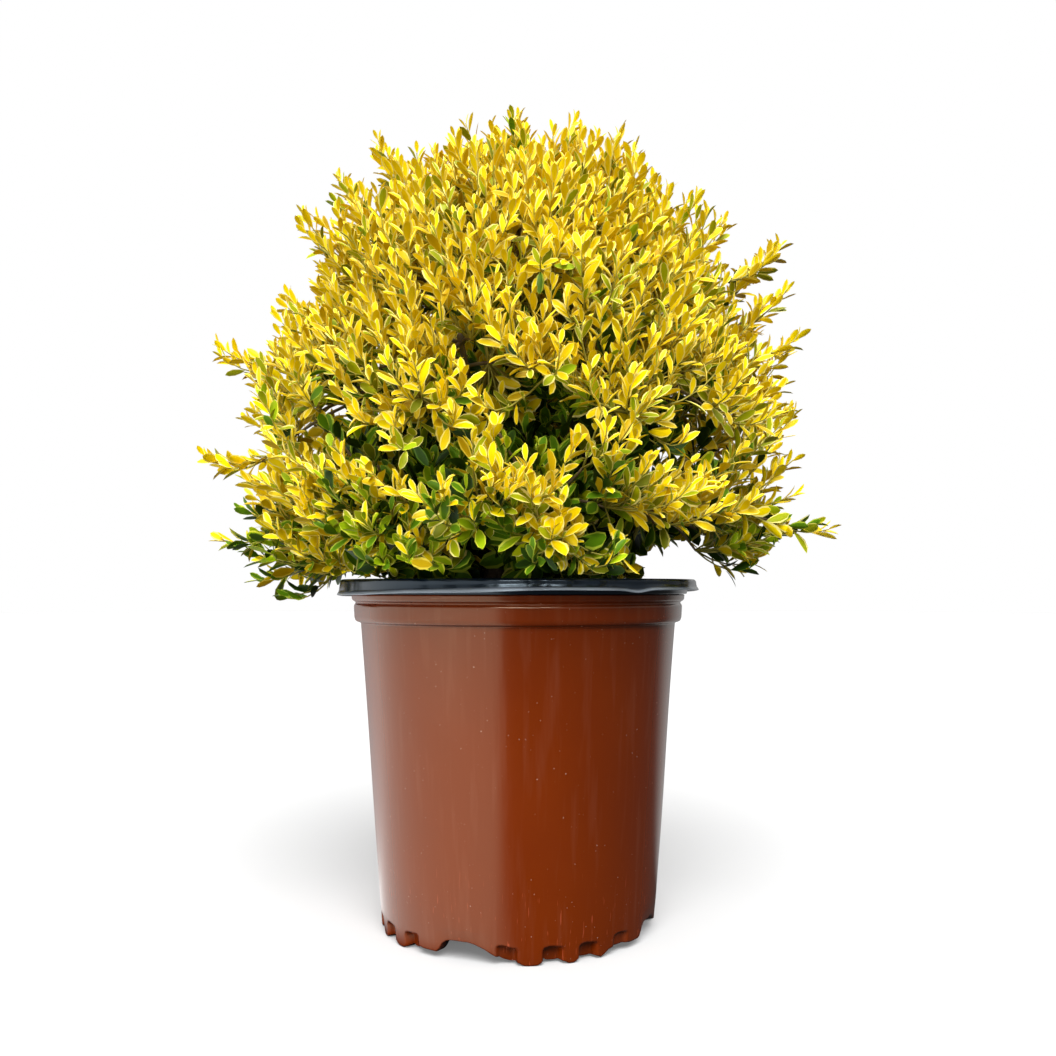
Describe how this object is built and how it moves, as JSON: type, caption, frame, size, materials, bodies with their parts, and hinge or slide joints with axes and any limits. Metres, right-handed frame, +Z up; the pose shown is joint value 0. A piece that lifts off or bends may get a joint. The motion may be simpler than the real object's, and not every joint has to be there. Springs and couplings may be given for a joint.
{
  "type": "potted variegated holly",
  "caption": "Dense rounded small-leaved holly with gold-edged leaves on a short forked stem, growing in a tapered nursery pot with a black rim.",
  "frame": {"origin": "middle of the pot's flat underside, on the pot's axis", "axes": "+Z up along the pot's axis, +X to the right of the picture's view, -Y towards its viewer"},
  "size_m": [0.398, 0.3761, 0.52],
  "materials": {
    "pot_plastic": "moulded brown polyethylene, semi-gloss, dusty",
    "rim_plastic": "black moulded polyethylene, satin",
    "growing_mix": "damp composted bark chips",
    "bark": "smooth grey-brown young bark with raised pores",
    "foliage": "leathery leaves, gold and cream over green, satin"
  },
  "bodies": {
    "root": {"pot_shell": "pot_plastic", "pot_rim": "rim_plastic", "soil": "growing_mix", "trunk": "bark", "bough_lower_1": "bark", "bough_lower_2": "bark", "bough_lower_3": "bark", "bough_lower_4": "bark", "bough_lower_5": "bark", "bough_lower_6": "bark", "bough_middle_1": "bark", "bough_middle_2": "bark", "bough_middle_3": "bark", "bough_middle_4": "bark", "bough_middle_5": "bark", "bough_middle_6": "bark", "bough_upper_1": "bark", "bough_upper_2": "bark", "bough_upper_3": "bark", "bough_upper_4": "bark", "bough_upper_5": "bark", "bough_top": "bark", "foliage_lower_1": "foliage", "foliage_lower_2": "foliage", "foliage_lower_3": "foliage", "foliage_lower_4": "foliage", "foliage_lower_5": "foliage", "foliage_lower_6": "foliage", "foliage_middle_1": "foliage", "foliage_middle_2": "foliage", "foliage_middle_3": "foliage", "foliage_middle_4": "foliage", "foliage_middle_5": "foliage", "foliage_middle_6": "foliage", "foliage_upper_1": "foliage", "foliage_upper_2": "foliage", "foliage_upper_3": "foliage", "foliage_upper_4": "foliage", "foliage_upper_5": "foliage", "foliage_top": "foliage"}
  },
  "joints": []
}
